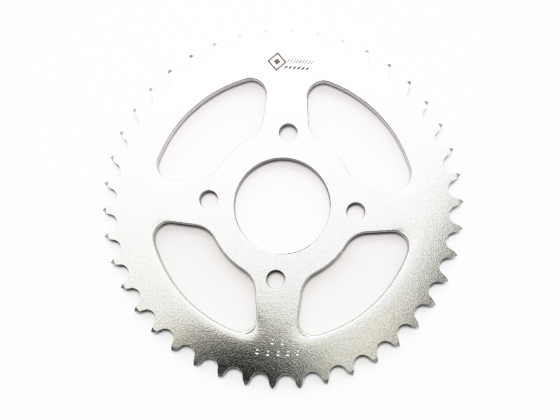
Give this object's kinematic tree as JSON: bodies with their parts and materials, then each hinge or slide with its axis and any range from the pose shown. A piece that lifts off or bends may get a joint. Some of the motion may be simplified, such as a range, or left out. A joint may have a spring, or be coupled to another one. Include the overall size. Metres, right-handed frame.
{
  "type": "rear sprocket",
  "caption": "Flat steel chain wheel for a motorcycle rear hub, with bevelled teeth, a centring bore, a ring of bolt holes and curved lightening windows.",
  "frame": {"origin": "centre of the bore on the hub-side face", "axes": "+Z along the wheel axle, out of the outer face; the four bolt holes lie on +X, +Y, -X and -Y"},
  "size_m": [0.1756, 0.1758, 0.007],
  "materials": {
    "zinc_plated_steel": "satin white-zinc plating with a fine grain"
  },
  "bodies": {
    "root": {"sprocket_plate": "zinc_plated_steel"}
  },
  "joints": []
}
